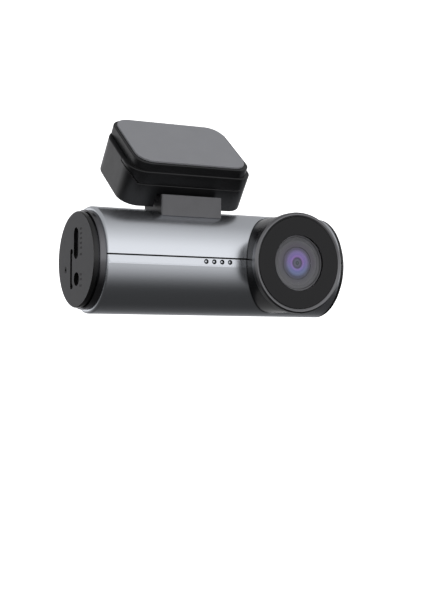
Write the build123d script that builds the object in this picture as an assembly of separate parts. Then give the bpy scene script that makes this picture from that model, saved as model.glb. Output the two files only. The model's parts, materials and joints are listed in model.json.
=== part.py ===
from build123d import *
import os
from math import atan2, cos, degrees, radians, sin

# A cylindrical dash camera under a windscreen mount, in millimetres.
#
# Row frame: +Z up, the lens looks along -Y, the barrel lies along X with its
# sockets at the -X end. The origin is the centre of the adhesive face that
# sticks to the windscreen.
#
# Two working frames are used and placed at export:
#   camera frame - origin on the barrel's axis, axes parallel to the row's;
#   mount frame  - origin on the adhesive face, local Z along its outward
#                  normal, local Y up the slope of the windscreen.

# ---------------------------------------------------------------- dimensions
PAD_SLOPE = 36.9                      # windscreen slope, degrees from level
BARREL_AXIS = Vector(10.2, 0.8, -39.5)  # barrel's axis seen from the pad

BARREL_R = 17.0
SHELL_T = 1.2
SHELL_X0, SHELL_X1 = -42.7, 42.9      # silver shells, port end and lens end
SHELL_REAR_Y = 4.6                    # where the silver shells stop
PORT_END_ROUND, LENS_END_ROUND = 1.0, 0.3
STRIP_GROOVE = 0.3                    # groove along the strip's lower edge
SEAM_Z = 0.95                         # joint line between the two shells
SEAM_GAP = 0.5
STRIP_BOTTOM_Z = -1.5                 # lower edge of the flat strip
SOUND_HOLE_R = 0.8
SOUND_HOLE_PITCH = 2.85
SOUND_HOLE_X0 = -9.05
SOUND_HOLE_Z = -0.3
SOUND_HOLES = 4

REAR_Y = 17.7                         # flat face that carries the screen
REAR_HALF_Z = 13.7
REAR_CORNER_R = 1.6
BOX_X0, BOX_X1 = -42.2, 41.8
BOX_WALL = 1.3
BOX_END_WALL = 1.5
SCREEN_WALL_Y = 15.4                  # inner side of the wall round the screen

LENS_X = 21.5
POD_R = 15.9
POD_FRONT_Y = -22.2
POD_BACK_Y = -4.2
BEZEL_R = 16.35
BEZEL_FRONT_Y = -23.4
GLASS_R = 14.95
LENS_WINDOW_R = 9.05

SCREEN_X0, SCREEN_X1 = -38.6, 35.0    # cover glass of the screen
SCREEN_HALF_Z = 12.2
SCREEN_FACE_Y = 17.6
SCREEN_T = 0.9
DISPLAY_X0, DISPLAY_X1 = -34.0, 29.6
DISPLAY_HALF_Z = 9.7

PORT_COVER_R = 15.2
PORT_FACE_X = -46.5
PORT_COVER_T = 1.3
END_COVER_R = 15.4
END_FACE_X = 44.4
COLLAR_R = 15.75
NECK_R = 14.4

USB_Y, USB_Z = -0.25, 5.1
USB_W, USB_H, USB_DEPTH = 8.94, 3.2, 7.8
AV_Y, AV_Z = -0.7, -6.2
AV_BORE_R, AV_BORE_DEPTH = 1.3, 10.5
CARD_Y, CARD_Z = 3.85, -2.9
CARD_W, CARD_L, CARD_T = 11.0, 15.0, 0.75
RESET_Y, RESET_Z = 8.7, -2.9
RESET_TRAVEL = 0.3

END_SCREW_Y, END_SCREW_Z = 8.8, 8.8    # screws of the two end frames
END_HEAD_R, END_HEAD_H = 1.4, 0.8

POD_FLOOR_Y0, POD_FLOOR_Y1 = -12.6, -11.2
SENSOR_POST_X, SENSOR_POST_Z = 10.0, 6.0
SENSOR_BOARD_Y = -5.0

BOARD_Y0, BOARD_Y1 = 1.4, 2.4         # main circuit board
BOARD_X0, BOARD_X1, BOARD_HALF_Z = -42.0, 37.0, 11.4
FRAME_Y0, FRAME_Y1 = 11.6, 13.0       # plate behind the display
FRAME_BOSS_Z = 8.9
POST_Z = 8.9
SPEAKER_X = -3.3
CAPACITOR_Y, CAPACITOR_Z, CAPACITOR_R = -7.0, 6.3, 4.1
FIT = 0.02                            # clearance between faces that touch

PIN_Y, PIN_Z = 0.5, 22.5              # tilt hinge in the camera frame
PIN_R = 1.25
PIN_HALF_L = 15.0
PIN_RUNNING = 0.05                    # radial clearance in the knuckle
KNUCKLE_R = 2.6
BRACKET_HALF_W = 10.6
BRACKET_FRONT_Y, BRACKET_BACK_Y = -9.2, 4.4
BRACKET_TOP_Z = 21.2
BRACKET_X = -BARREL_AXIS.X            # bracket is centred under the mount
BRACKET_BASE_Z, BRACKET_DECK_Z = 12.0, 19.6
BRACKET_COVER_T = 0.9
BRACKET_SCREW_Y = -3.6
BACKPLATE_Z = 13.4

PAD_HALF_W, PAD_HALF_D, PAD_T = 19.5, 13.85, 0.6
PAD_CORNER_R = 5.4
PLATE_HALF_W, PLATE_T = 20.6, 3.0
PLATE_FRONT, PLATE_BACK = -14.75, 14.1
PLATE_CORNER_R = 5.4
HOLDER_HALF_W = 22.35
HOLDER_FRONT, HOLDER_BACK = -14.95, 13.4
HOLDER_TOP, HOLDER_BOTTOM = -3.8, -16.2
HOLDER_FRONT_R, HOLDER_BACK_R = 6.2, 8.0
LIP_BOTTOM = -7.9                     # base plate's front stop
LIP_BACK = -6.5
LIP_HALF_LOW = 18.2                   # half length of its level lower edge
MOUNT_EDGE = 0.2                      # chamfer on the mount's visible edges
RAIL_NECK_W, RAIL_FLANGE_W = 20.0, 24.0
RAIL_NECK_BOTTOM, RAIL_BOTTOM = -5.95, -7.4
RAIL_BACK = 10.0
SLIDE_GAP = 0.2
POCKET_HALF_W = 11.1
POCKET_CEILING = -11.3

CAMERA_FRAME = Pos(BARREL_AXIS.X, BARREL_AXIS.Y, BARREL_AXIS.Z)
SLOPE = radians(PAD_SLOPE)
MOUNT_FRAME = Plane(origin=(0, 0, 0), x_dir=(1, 0, 0),
                    z_dir=(0, -sin(SLOPE), cos(SLOPE))).location


# ------------------------------------------------------------------- helpers
def block(x0, x1, y0, y1, z0, z1):
    """A box between two corners."""
    return Pos((x0 + x1) / 2, (y0 + y1) / 2, (z0 + z1) / 2) * Box(x1 - x0, y1 - y0, z1 - z0)


def rod_x(x0, x1, radius, y=0.0, z=0.0):
    """A cylinder along X."""
    return Pos((x0 + x1) / 2, y, z) * Rot(0, 90, 0) * Cylinder(radius, x1 - x0)


def rod_y(y0, y1, radius, x=0.0, z=0.0):
    """A cylinder along Y."""
    return Pos(x, (y0 + y1) / 2, z) * Rot(90, 0, 0) * Cylinder(radius, y1 - y0)


def rod_z(z0, z1, radius, x=0.0, y=0.0):
    """A cylinder along Z."""
    return Pos(x, y, (z0 + z1) / 2) * Cylinder(radius, z1 - z0)


def plate_y(x0, x1, y0, y1, z0, z1, radius):
    """A plate square to Y whose four corners are rounded."""
    outline = RectangleRounded(x1 - x0, z1 - z0, radius)
    return Pos((x0 + x1) / 2, y1, (z0 + z1) / 2) * Rot(90, 0, 0) * extrude(outline, y1 - y0)


def slot_x(x0, x1, y, z, length, width):
    """A round-ended slot through X, long in Z."""
    outline = Plane.YZ * Pos(y, z) * Rot(0, 0, 90) * SlotOverall(length, width)
    return Pos(x0, 0, 0) * extrude(outline, x1 - x0)


def profile_yz(points, x0, x1):
    """A polygon in Y and Z, extruded along X."""
    outline = Plane.YZ * make_face(Polyline(*points, close=True))
    return Pos(x0, 0, 0) * extrude(outline, x1 - x0)


def turned_about_x(points):
    """A solid of revolution about the barrel's axis, from (x, radius) points."""
    outline = make_face(Polyline(*[(x, 0, r) for x, r in points], close=True))
    return revolve(outline, Axis.X)


def turned_about_lens(points):
    """A solid of revolution about the lens's axis, from (y, radius) points."""
    outline = make_face(Polyline(*[(LENS_X + r, y, 0) for y, r in points], close=True))
    return revolve(outline, Axis((LENS_X, 0, 0), (0, 1, 0)))


def screw(length, shank_r, head_r, head_h):
    """A pan-head screw: the shank runs along +Z from the head's underside."""
    body = rod_z(0, length, shank_r) + rod_z(-head_h, 0, head_r)
    recess = Pos(0, 0, -head_h) * Box(head_r * 1.1, head_r * 0.28, head_h)
    return body - recess - Rot(0, 0, 90) * recess


def mount_slab(half_w, front, back, front_r, back_r, bottom, top):
    """A slab in the mount frame whose front and back corners have their own radii."""
    outline = Pos(0, (front + back) / 2) * Rectangle(2 * half_w, back - front)
    outline = fillet(outline.vertices().group_by(Axis.Y)[0], front_r)
    outline = fillet(outline.vertices().group_by(Axis.Y)[-1], back_r)
    return Pos(0, 0, bottom) * extrude(outline, top - bottom)


def holder_slab(shrink, bottom, top):
    """The mount holder's outline, drawn in by a distance, between two heights."""
    return mount_slab(HOLDER_HALF_W - shrink, HOLDER_FRONT + shrink, HOLDER_BACK - shrink,
                      HOLDER_FRONT_R - shrink, HOLDER_BACK_R - shrink, bottom, top)


def barrel_section(grow=0.0):
    """The camera's section: a circle joined by tangents to two rear corners."""
    corner_y = REAR_Y - REAR_CORNER_R
    corner_z = REAR_HALF_Z - REAR_CORNER_R
    barrel = Circle(BARREL_R + grow)
    corners = [Pos(corner_y, side * corner_z) * Circle(REAR_CORNER_R + grow) for side in (1, -1)]
    edges = barrel.edges() + corners[0].edges() + corners[1].edges()
    return Plane.YZ * make_hull(edges)


# --------------------------------------------------------- windscreen mount
def adhesive_pad():
    pad = mount_slab(PAD_HALF_W, -PAD_HALF_D, PAD_HALF_D, PAD_CORNER_R, PAD_CORNER_R, -PAD_T, 0)
    return fillet(pad.edges().group_by(Axis.Z)[-1], 0.2)


def lip_outline(shrink):
    """The front stop: flush with the holder, its ends rising round the corners."""
    slab = holder_slab(0.0, LIP_BOTTOM - shrink, -PAD_T - PLATE_T + MOUNT_EDGE)
    rise = HOLDER_TOP - LIP_BOTTOM
    half_low = LIP_HALF_LOW + shrink
    half_high = HOLDER_HALF_W + 1.0 + shrink
    front = HOLDER_FRONT - 1
    shape = Polyline(
        (-half_low, 0, LIP_BOTTOM - shrink), (half_low, 0, LIP_BOTTOM - shrink),
        (half_high, 0, LIP_BOTTOM + rise + 0.2), (-half_high, 0, LIP_BOTTOM + rise + 0.2), close=True)
    wedge = Pos(0, front, 0) * extrude(make_face(shape), LIP_BACK + shrink - front, dir=(0, 1, 0))
    return slab & wedge


def base_plate():
    top = -PAD_T
    under = top - PLATE_T
    plate = mount_slab(PLATE_HALF_W, PLATE_FRONT, PLATE_BACK, PLATE_CORNER_R, PLATE_CORNER_R, under, top)
    plate = chamfer(plate.edges().group_by(Axis.Z)[-1], MOUNT_EDGE)
    rail_front = HOLDER_FRONT + 1.0
    neck = block(-RAIL_NECK_W / 2, RAIL_NECK_W / 2, rail_front, RAIL_BACK,
                 RAIL_NECK_BOTTOM - 0.1, under + 0.1)
    flange = block(-RAIL_FLANGE_W / 2, RAIL_FLANGE_W / 2, rail_front, RAIL_BACK,
                   RAIL_BOTTOM, RAIL_NECK_BOTTOM)
    lip = lip_outline(0.0)
    lip = chamfer(lip.edges().group_by(Axis.Z)[-1], MOUNT_EDGE)
    return plate + neck + flange + lip


def pin_in_mount():
    """The hinge pin's place (y, z) in the mount frame."""
    y = PIN_Y + BARREL_AXIS.Y
    z = PIN_Z + BARREL_AXIS.Z
    return y * cos(SLOPE) + z * sin(SLOPE), -y * sin(SLOPE) + z * cos(SLOPE)


def on_holder_rim(point):
    """True on the holder's upper outer edge, which dips under the lip at the front."""
    inside = holder_slab(0.05, HOLDER_BOTTOM, HOLDER_TOP + 1)
    return point.Z > LIP_BOTTOM - 0.5 and not inside.is_inside(point)


def mount_holder():
    body = holder_slab(0.0, HOLDER_BOTTOM, HOLDER_TOP)
    body = fillet(body.edges().group_by(Axis.Z)[0], 0.4)
    body -= lip_outline(SLIDE_GAP)
    rim = [edge for edge in body.edges() if on_holder_rim(edge.center())]
    body = chamfer(rim, MOUNT_EDGE)
    pin_y, pin_z = pin_in_mount()
    front = HOLDER_FRONT - 1
    gap = SLIDE_GAP
    half_neck, half_flange = RAIL_NECK_W / 2 + gap, RAIL_FLANGE_W / 2 + gap
    neck = block(-half_neck, half_neck, front, RAIL_BACK + gap, RAIL_BOTTOM - gap, HOLDER_TOP + 1)
    flange = block(-half_flange, half_flange, front, RAIL_BACK + gap,
                   RAIL_BOTTOM - gap, RAIL_NECK_BOTTOM + gap)
    pocket = block(-POCKET_HALF_W, POCKET_HALF_W, front, pin_y + KNUCKLE_R + 1.0,
                   HOLDER_BOTTOM - 1, POCKET_CEILING)
    pin_hole = rod_x(-PIN_HALF_L, HOLDER_HALF_W + 1, PIN_R, pin_y, pin_z)
    plug_hole = rod_x(PIN_HALF_L, HOLDER_HALF_W + 1, PIN_R + 0.4, pin_y, pin_z)
    spring_well = block(-4.0, 4.0, -2.0, 9.0, -9.5, RAIL_BOTTOM)
    return body - neck - flange - pocket - pin_hole - plug_hole - spring_well


def hinge_pin():
    pin_y, pin_z = pin_in_mount()
    pin = rod_x(-PIN_HALF_L, PIN_HALF_L, PIN_R, pin_y, pin_z)
    return chamfer(pin.edges(), 0.25)


def pin_plug():
    """Closes the hole that the pin is pushed in through, flush with the holder."""
    pin_y, pin_z = pin_in_mount()
    plug = rod_x(PIN_HALF_L + 0.3, HOLDER_HALF_W + 1, PIN_R + 0.35, pin_y, pin_z)
    return plug & holder_slab(0.05, HOLDER_BOTTOM, HOLDER_TOP)


def detent_spring():
    """A bent leaf under the rail, whose hump holds the slide at its stop."""
    low, high, t = -9.4, -7.75, 0.3
    outline = [(-1.6, low), (0.8, low), (2.4, high), (4.6, high), (6.2, low), (8.6, low),
               (8.6, low + t), (6.35, low + t), (4.75, high + t), (2.25, high + t), (0.65, low + t),
               (-1.6, low + t)]
    return profile_yz(outline, -3.0, 3.0)


# -------------------------------------------------------- bracket and hinge
def bracket_cover():
    """Grey plate bonded to the bracket's front."""
    plate = block(BRACKET_X - BRACKET_HALF_W, BRACKET_X + BRACKET_HALF_W, BRACKET_FRONT_Y,
                  BRACKET_FRONT_Y + BRACKET_COVER_T - FIT, BRACKET_BASE_Z, BRACKET_TOP_Z)
    plate -= rod_x(-40, 40, BARREL_R + FIT)
    front = plate.faces().sort_by(Axis.Y)[0]
    return chamfer(front.edges(), 0.2)


def bracket():
    """Block that stands on the barrel and carries the hinge's knuckle."""
    x0, x1 = BRACKET_X - BRACKET_HALF_W, BRACKET_X + BRACKET_HALF_W
    front_y = BRACKET_FRONT_Y + BRACKET_COVER_T
    foot = profile_yz([(front_y, BRACKET_BASE_Z), (BRACKET_BACK_Y, BRACKET_BASE_Z),
                       (BRACKET_BACK_Y, BRACKET_DECK_Z), (-6.4, BRACKET_DECK_Z),
                       (-7.2, BRACKET_TOP_Z), (front_y, BRACKET_TOP_Z)], x0, x1)
    web = block(x0, x1, PIN_Y - KNUCKLE_R, PIN_Y + KNUCKLE_R, BRACKET_DECK_Z - 1, PIN_Z)
    knuckle = rod_x(x0, x1, KNUCKLE_R, PIN_Y, PIN_Z)
    body = foot + web + knuckle
    body -= rod_x(x0 - 1, x1 + 1, PIN_R + PIN_RUNNING, PIN_Y, PIN_Z)
    body -= rod_x(x0 - 1, x1 + 1, BARREL_R + FIT)
    for x in bracket_screw_places():
        body -= rod_z(10, 19.0, 0.85, x, BRACKET_SCREW_Y)
    return body


def bracket_screw_places():
    return [BRACKET_X - 6.5, BRACKET_X + 6.5]


def friction_washers():
    x_in, x_out = BRACKET_HALF_W + 0.05, POCKET_HALF_W - 0.05
    washers = []
    for side in (-1, 1):
        x0, x1 = sorted((BRACKET_X + side * x_in, BRACKET_X + side * x_out))
        washers.append(rod_x(x0, x1, 2.4, PIN_Y, PIN_Z) - rod_x(x0 - 1, x1 + 1, PIN_R + 0.05, PIN_Y, PIN_Z))
    return Compound(washers)


def bracket_backplate():
    """Metal plate inside the barrel that the bracket's screws pull against."""
    plate = block(BRACKET_X - 9.0, BRACKET_X + 9.0, -6.4, SHELL_REAR_Y - 0.6, BACKPLATE_Z, BARREL_R)
    plate &= rod_x(-40, 40, BARREL_R - SHELL_T - 0.05)
    for x in bracket_screw_places():
        plate -= rod_z(10, 20, 1.15, x, BRACKET_SCREW_Y)
    return plate


def bracket_screws():
    return Compound([Pos(x, BRACKET_SCREW_Y, BACKPLATE_Z) * screw(5.2, 0.85, 1.8, 1.1)
                     for x in bracket_screw_places()])


# ------------------------------------------------------------- outer casing
def sound_holes(y0, y1):
    return [rod_y(y0, y1, SOUND_HOLE_R, SOUND_HOLE_X0 + i * SOUND_HOLE_PITCH, SOUND_HOLE_Z)
            for i in range(SOUND_HOLES)]


def shell_tube():
    """The silver sleeve before it is split along its seam."""
    sleeve = rod_x(SHELL_X0, SHELL_X1, BARREL_R)
    sleeve = fillet(sleeve.edges().group_by(Axis.X)[0], PORT_END_ROUND)
    sleeve = fillet(sleeve.edges().group_by(Axis.X)[-1], LENS_END_ROUND)
    sleeve -= rod_x(SHELL_X0 - 1, SHELL_X1 + 1, BARREL_R - SHELL_T)
    sleeve -= block(SHELL_X0 - 1, SHELL_X1 + 1, SHELL_REAR_Y, 20, -20, 20)
    return sleeve - rod_y(-30, POD_BACK_Y + 0.2, POD_R + 0.15, LENS_X, 0)


def upper_shell():
    shell = shell_tube() & block(-50, 50, -20, 20, SEAM_Z + SEAM_GAP / 2, 20)
    for x in bracket_screw_places():
        shell -= rod_z(10, 20, 1.15, x, BRACKET_SCREW_Y)
    return shell


def lower_shell():
    """Silver half with the flat strip, the sound holes and the seam's tongue."""
    top = SEAM_Z - SEAM_GAP / 2
    shell = shell_tube() & block(-50, 50, -20, 20, -20, top)
    shell -= block(-50, 50, -20, -BARREL_R + 0.07, STRIP_BOTTOM_Z, top + 1)
    groove_y = -BARREL_R + STRIP_GROOVE
    shell -= block(-50, 50, -20, groove_y, STRIP_BOTTOM_Z - STRIP_GROOVE, STRIP_BOTTOM_Z)
    inner_r = BARREL_R - SHELL_T
    ring = rod_x(SHELL_X0 + 1.6, LENS_X - POD_R - 1.0, inner_r + 0.05)
    ring -= rod_x(SHELL_X0, SHELL_X1, inner_r - 0.55)
    tongue_high = ring & block(-50, 50, -20, 0, top - 0.2, top + 1.5)
    tongue_high -= rod_x(-50, 50, 30) - rod_x(-51, 51, inner_r - 0.04)
    tongue_low = ring & block(-50, 50, -20, 0, top - 1.9, top)
    shell = shell + tongue_low + tongue_high
    for hole in sound_holes(-20, -10):
        shell -= hole
    return shell


def vent_slots():
    """Short slots in the sloping ledge above the screen."""
    slope = degrees(atan2(REAR_HALF_Z - 16.56, REAR_Y - SHELL_REAR_Y))
    slots = []
    for i in range(8):
        x = 31.0 - i * 4.9
        slot = extrude(SlotOverall(4.0, 0.9), 6, both=True)
        slots.append(Pos(x, 10.2, 15.0) * Rot(slope, 0, 0) * slot)
    return slots


def rear_housing():
    """Black box behind the barrel: ledge, screen frame and both end walls."""
    body = Pos(BOX_X0, 0, 0) * extrude(barrel_section(), BOX_X1 - BOX_X0)
    ends = body.faces().sort_by(Axis.X)
    body = fillet(ends[0].edges() + ends[-1].edges(), 1.4)
    body -= block(-60, 60, -30, SHELL_REAR_Y + 0.15, -30, 30)
    x0, x1 = BOX_X0 + BOX_END_WALL, BOX_X1 - BOX_END_WALL
    hollow = Pos(x0, 0, 0) * extrude(barrel_section(-BOX_WALL), x1 - x0)
    body -= hollow & block(-60, 60, -30, SCREEN_WALL_Y, -30, 30)
    body -= plate_y(SCREEN_X0 - 0.15, SCREEN_X1 + 0.15, SCREEN_FACE_Y - SCREEN_T - 0.2, REAR_Y + 1,
                    -SCREEN_HALF_Z - 0.15, SCREEN_HALF_Z + 0.15, 1.75)
    body -= block(DISPLAY_X0 - 0.2, DISPLAY_X1 + 0.2, 10, REAR_Y,
                  -DISPLAY_HALF_Z - 0.2, DISPLAY_HALF_Z + 0.2)
    for slot in vent_slots():
        body -= slot
    for x in frame_boss_places():
        for z in (-FRAME_BOSS_Z, FRAME_BOSS_Z):
            body += rod_y(FRAME_Y1, SCREEN_WALL_Y + 0.1, 1.9, x, z)
            body -= rod_y(FRAME_Y1 - 1, SCREEN_WALL_Y - 0.3, 0.7, x, z)
    for x, inward in ((BOX_X0, 1), (BOX_X1, -1)):
        for z in (-END_SCREW_Z, END_SCREW_Z):
            tip = x + inward * 4.2
            body += rod_x(min(x + inward, tip), max(x + inward, tip), 1.8, END_SCREW_Y, z)
            body -= rod_x(min(x - inward, tip), max(x - inward, tip), 0.8, END_SCREW_Y, z)
    body -= card_slot(BOX_X0 - 1, BOX_X0 + 3)
    body -= rod_x(BOX_X0 - 1, BOX_X0 + 3, 0.9, RESET_Y, RESET_Z)
    return body


def card_slot(x0, x1):
    """The slot the memory card passes through, with a round notch at each end."""
    slot = slot_x(x0, x1, CARD_Y, CARD_Z, 12.7, 1.5)
    for side in (-1, 1):
        slot += rod_x(x0, x1, 0.85, CARD_Y - 0.55, CARD_Z + side * 5.5)
    return slot


def port_end_frame():
    """Turned plate with a neck and collar, behind the sockets' cover."""
    back = BOX_X0 - 0.05
    front = PORT_FACE_X + PORT_COVER_T
    groove = front + 0.6
    body = turned_about_x([(front, 0), (front, NECK_R), (groove, NECK_R), (groove, COLLAR_R - 0.25),
                           (groove + 0.25, COLLAR_R), (back, COLLAR_R), (back, 0)])
    body -= rod_x(front + 1.2, 0, 13.2) & block(-60, 0, -20, SHELL_REAR_Y, -20, 20)
    body -= slot_x(-50, -40, USB_Y, USB_Z, USB_W + 0.3, USB_H + 0.3)
    body -= rod_x(-50, -40, 2.1, AV_Y, AV_Z)
    body -= card_slot(-50, -40)
    body -= rod_x(-50, -40, 1.05, RESET_Y, RESET_Z)
    for z in (-END_SCREW_Z, END_SCREW_Z):
        body -= rod_x(-50, -40, 0.95, END_SCREW_Y, z)
        body -= rod_x(-50, front + END_HEAD_H + 0.1, END_HEAD_R + 0.1, END_SCREW_Y, z)
    return body


def port_cover():
    """Round face plate with the sockets' openings."""
    back = PORT_FACE_X + PORT_COVER_T
    edge = 0.3
    body = turned_about_x([(PORT_FACE_X, 0), (PORT_FACE_X, PORT_COVER_R - edge),
                           (PORT_FACE_X + edge, PORT_COVER_R), (back - FIT, PORT_COVER_R), (back - FIT, 0)])
    body -= slot_x(-50, -40, USB_Y, USB_Z, 9.9, 3.8)
    body -= rod_x(-50, -40, 2.15, AV_Y, AV_Z)
    body -= card_slot(-50, -40)
    body -= rod_x(-50, -40, 0.6, RESET_Y, RESET_Z)
    return body


def lens_end_frame():
    front = END_FACE_X - 1.2
    back = BOX_X1 + 0.05
    groove = front - 0.3
    body = turned_about_x([(back, 0), (back, COLLAR_R), (groove - 0.25, COLLAR_R),
                           (groove, COLLAR_R - 0.25), (groove, NECK_R + 0.4),
                           (front, NECK_R + 0.4), (front, 0)])
    for z in (-END_SCREW_Z, END_SCREW_Z):
        body -= rod_x(30, 60, 0.95, END_SCREW_Y, z)
        body -= rod_x(front - END_HEAD_H - 0.1, 60, END_HEAD_R + 0.1, END_SCREW_Y, z)
    return body


def end_cover():
    front = END_FACE_X
    edge = 0.6
    body = turned_about_x([(front - 1.18, 0), (front - 1.18, END_COVER_R), (front - edge, END_COVER_R),
                           (front, END_COVER_R - edge), (front, 0)])
    return body


def end_screws():
    port_seat = PORT_FACE_X + PORT_COVER_T + END_HEAD_H + 0.05
    lens_seat = END_FACE_X - 1.2 - END_HEAD_H - 0.05
    places = []
    for z in (-END_SCREW_Z, END_SCREW_Z):
        places.append(Pos(port_seat, END_SCREW_Y, z) * Rot(0, 90, 0))
        places.append(Pos(lens_seat, END_SCREW_Y, z) * Rot(0, -90, 0))
    return Compound([place * screw(4.4, 0.75, END_HEAD_R, END_HEAD_H) for place in places])


# -------------------------------------------------------------- lens module
def sensor_post_places():
    return [(LENS_X + sx * SENSOR_POST_X, sz * SENSOR_POST_Z) for sx in (-1, 1) for sz in (-1, 1)]


def lens_pod():
    body = turned_about_lens([(POD_FRONT_Y, POD_R - 1.3), (POD_FRONT_Y, POD_R), (POD_BACK_Y, POD_R),
                              (POD_BACK_Y, POD_R - 1.3), (POD_FLOOR_Y1, POD_R - 1.3), (POD_FLOOR_Y1, 9.1),
                              (POD_FLOOR_Y0, 9.1), (POD_FLOOR_Y0, POD_R - 1.3)])
    for x, z in sensor_post_places():
        body += rod_y(POD_FLOOR_Y1 - 0.1, SENSOR_BOARD_Y - FIT, 1.6, x, z)
        body -= rod_y(POD_FLOOR_Y1, SENSOR_BOARD_Y + 1, 0.65, x, z)
    return body


def bezel_ring():
    """Cap of the pod: a rim round the front glass and the seat it rests on."""
    rim, outer_bevel = 0.45, 0.5
    seat_front, seat_back = BEZEL_FRONT_Y + 0.95, POD_FRONT_Y - FIT
    skirt_back = POD_FRONT_Y + 1.0
    return turned_about_lens([(BEZEL_FRONT_Y, GLASS_R + 0.05 + rim), (BEZEL_FRONT_Y + 0.25, GLASS_R + 0.05),
                              (seat_front, GLASS_R + 0.05), (seat_front, GLASS_R - 0.65),
                              (seat_back, GLASS_R - 0.65), (seat_back, POD_R + 0.03),
                              (skirt_back, POD_R + 0.03), (skirt_back, BEZEL_R),
                              (BEZEL_FRONT_Y + outer_bevel, BEZEL_R),
                              (BEZEL_FRONT_Y, BEZEL_R - outer_bevel)])


def front_glass():
    front = BEZEL_FRONT_Y + 0.12
    return turned_about_lens([(front, 0), (front, GLASS_R - 0.15), (front + 0.15, GLASS_R),
                              (front + 0.8, GLASS_R), (front + 0.8, 0)])


def glass_mask():
    """Opaque ring printed on the back of the front glass."""
    y0 = BEZEL_FRONT_Y + 0.94
    return turned_about_lens([(y0, LENS_WINDOW_R), (y0, GLASS_R - 0.75), (y0 + 0.1, GLASS_R - 0.75),
                              (y0 + 0.1, LENS_WINDOW_R)])


def lens_barrel():
    """Threaded lens tube whose front flares into a cone."""
    return turned_about_lens([(-21.7, 8.2), (-21.7, 8.95), (-18.6, 8.95), (-17.6, 6.75), (-8.4, 6.75),
                              (-8.4, 4.2), (-12.9, 4.2), (-12.9, 4.7), (-16.7, 4.7), (-16.7, 5.55),
                              (-19.9, 5.55)])


def lens_ring():
    """Thin grey ring round the mouth of the lens."""
    return turned_about_lens([(-22.1, 8.25), (-22.3, 8.4), (-22.3, 8.95), (-21.72, 8.95), (-21.72, 8.25)])


def dome(y_front, y_back, radius, sag):
    """A lens element: domed in front, flat behind."""
    ball_r = (radius ** 2 + sag ** 2) / (2 * sag)
    ball = Pos(LENS_X, y_front + ball_r, 0) * Sphere(ball_r)
    return ball & rod_y(y_front - 0.1, y_back, radius, LENS_X, 0)


def front_lens():
    return dome(-20.9, -16.75, 5.5, 2.4)


def middle_lens():
    return dome(-16.1, -13.0, 4.6, 1.4)


def rear_lens():
    return dome(-12.4, -9.6, 4.15, 1.2)


def lens_mount():
    """Square block, threaded for the lens tube, that stands on the sensor board."""
    block_x, block_z = 8.0, 8.2
    body = block(LENS_X - block_x, LENS_X + block_x, POD_FLOOR_Y1 + 0.2, SENSOR_BOARD_Y - FIT,
                 -block_z, block_z)
    body -= rod_y(-20, -8.2, 6.8, LENS_X, 0)
    return body - block(LENS_X - 5.2, LENS_X + 5.2, -8.3, 0, -4.7, 4.7)


def ir_filter():
    return block(LENS_X - 5.1, LENS_X + 5.1, -8.0, -7.6, -4.6, 4.6)


def image_sensor():
    return block(LENS_X - 4.0, LENS_X + 4.0, -6.1, SENSOR_BOARD_Y - FIT, -3.4, 3.4)


def sensor_board():
    board = plate_y(LENS_X - 12.2, LENS_X + 12.2, SENSOR_BOARD_Y, SENSOR_BOARD_Y + 0.8, -8.6, 8.6, 1.0)
    for x, z in sensor_post_places():
        board -= rod_y(-10, 0, 0.9, x, z)
    return board


def sensor_screws():
    seat = SENSOR_BOARD_Y + 0.82
    return Compound([Pos(x, seat, z) * Rot(90, 0, 0) * screw(4.0, 0.6, 1.3, 0.7)
                     for x, z in sensor_post_places()])


# ---------------------------------------------------------------- electronics
def board_post_places():
    return [(x, z) for x in (-25.0, 26.0) for z in (-POST_Z, POST_Z)]


def frame_boss_places():
    return [DISPLAY_X0 - 2.4, DISPLAY_X1 + 2.4]


def main_board():
    board = plate_y(BOARD_X0, BOARD_X1, BOARD_Y0, BOARD_Y1, -BOARD_HALF_Z, BOARD_HALF_Z, 1.0)
    for x, z in board_post_places():
        board -= rod_y(0, 5, 0.9, x, z)
    return board


def board_screws():
    seat = BOARD_Y0 - FIT
    return Compound([Pos(x, seat, z) * Rot(-90, 0, 0) * screw(5.0, 0.6, 1.4, 0.7)
                     for x, z in board_post_places()])


def inner_frame():
    """Plate behind the display, with the posts that carry the main board."""
    frame = plate_y(-38.4, 38.4, FRAME_Y0, FRAME_Y1, -10.6, 10.6, 1.0)
    for x, z in board_post_places():
        frame += rod_y(BOARD_Y1 + FIT, FRAME_Y0 + 0.1, 2.0, x, z)
        frame -= rod_y(0, BOARD_Y1 + 4.5, 0.65, x, z)
    for x in frame_boss_places():
        for z in (-FRAME_BOSS_Z, FRAME_BOSS_Z):
            frame -= rod_y(5, 20, 0.85, x, z)
    return frame - block(-20, 12, 5, 20, -5.5, 5.5)


def frame_screws():
    return Compound([Pos(x, FRAME_Y0 - FIT, z) * Rot(-90, 0, 0) * screw(3.2, 0.65, 1.4, 0.7)
                     for x in frame_boss_places() for z in (-FRAME_BOSS_Z, FRAME_BOSS_Z)])


def processor():
    return block(3.0, 15.0, BOARD_Y1 + FIT, BOARD_Y1 + 1.2, -6.0, 6.0)


def heat_spreader():
    """Finned aluminium plate on the processor, under the vents."""
    y0 = BOARD_Y1 + 1.22
    body = block(-3.0, 22.0, y0, y0 + 1.2, -8.0, 11.0)
    for i in range(8):
        x = -2.4 + i * 3.4
        body += block(x, x + 0.8, y0 + 1.1, y0 + 4.0, -8.0, 11.0)
    return body


def memory_chips():
    return Compound([block(x, x + 8.0, BOARD_Y0 - 1.1, BOARD_Y0 - FIT, -5.0, 5.0) for x in (-8.0, 3.0)])


def wifi_module():
    return block(-17.0, -6.0, BOARD_Y1 + FIT, BOARD_Y1 + 2.2, -9.5, 1.5)


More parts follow.
